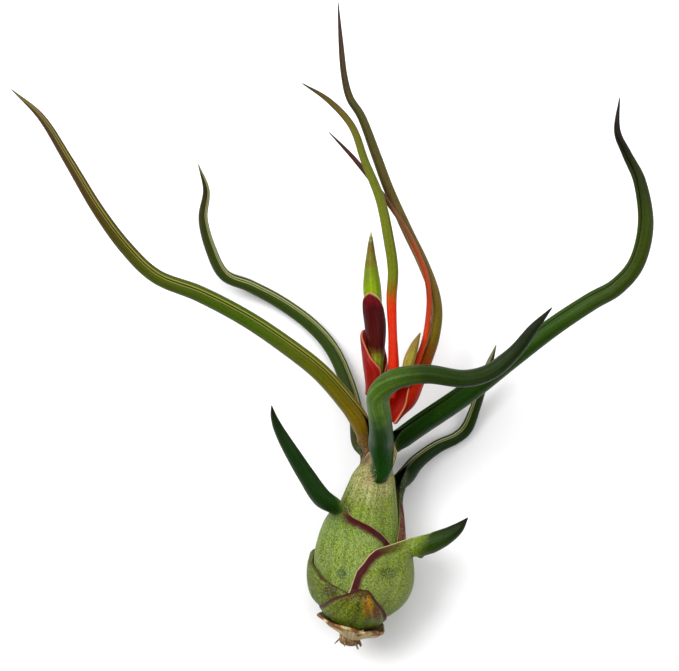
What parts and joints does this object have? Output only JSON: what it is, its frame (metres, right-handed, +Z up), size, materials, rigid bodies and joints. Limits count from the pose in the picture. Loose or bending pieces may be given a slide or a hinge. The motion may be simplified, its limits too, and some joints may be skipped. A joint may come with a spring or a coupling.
{
  "type": "bulbosa air plant",
  "caption": "Bulbosa air plant with a swollen bulb of overlapping leaf sheaths, long rolled blades and a red and green flower spike, lying on its side.",
  "frame": {"origin": "middle of the flat spot under the bulb, on the surface the plant lies on", "axes": "+Z up from the surface, +Y along the plant from its dry base towards the leaf tips, +X to the right seen from above"},
  "size_m": [0.1438, 0.1491, 0.0463],
  "materials": {
    "leaf_right_long": "glossy dark green to brown blade",
    "leaf_left_long": "satin olive green blade",
    "leaf_front": "satin green blade over a mealy grey green sheath",
    "leaf_right_back": "glossy dark green blade",
    "leaf_left_back": "glossy green blade",
    "leaf_left_horn": "mealy grey green sheath with a dark green horn",
    "leaf_left_low": "mealy yellow green sheath",
    "leaf_right_low": "mealy grey green sheath with a purple edge",
    "leaf_basal": "waxy moss green",
    "dry_sheath": "dry papery tan",
    "bract_leaf_tall": "red at the base, olive brown along the blade",
    "bract_leaf_mid": "orange red to olive green",
    "bract_leaf_slim": "orange red to brown",
    "bract_green": "smooth bright green",
    "bract_maroon": "satin maroon with a cream edge",
    "bract_red": "satin dark red with a cream edge",
    "bract_side": "smooth yellow olive",
    "flower_stem": "plain green stem inside the bulb",
    "stem_base": "dry brown stub with short rootlets"
  },
  "bodies": {
    "root": {"leaf_right_long": "leaf_right_long", "leaf_left_long": "leaf_left_long", "leaf_front": "leaf_front", "leaf_right_back": "leaf_right_back", "leaf_left_back": "leaf_left_back", "leaf_left_horn": "leaf_left_horn", "leaf_left_low": "leaf_left_low", "leaf_right_low": "leaf_right_low", "leaf_basal": "leaf_basal", "dry_sheath": "dry_sheath", "bract_leaf_tall": "bract_leaf_tall", "bract_leaf_mid": "bract_leaf_mid", "bract_leaf_slim": "bract_leaf_slim", "bract_green": "bract_green", "bract_maroon": "bract_maroon", "bract_red": "bract_red", "bract_side": "bract_side", "flower_stem": "flower_stem", "stem_base": "stem_base"}
  },
  "joints": []
}
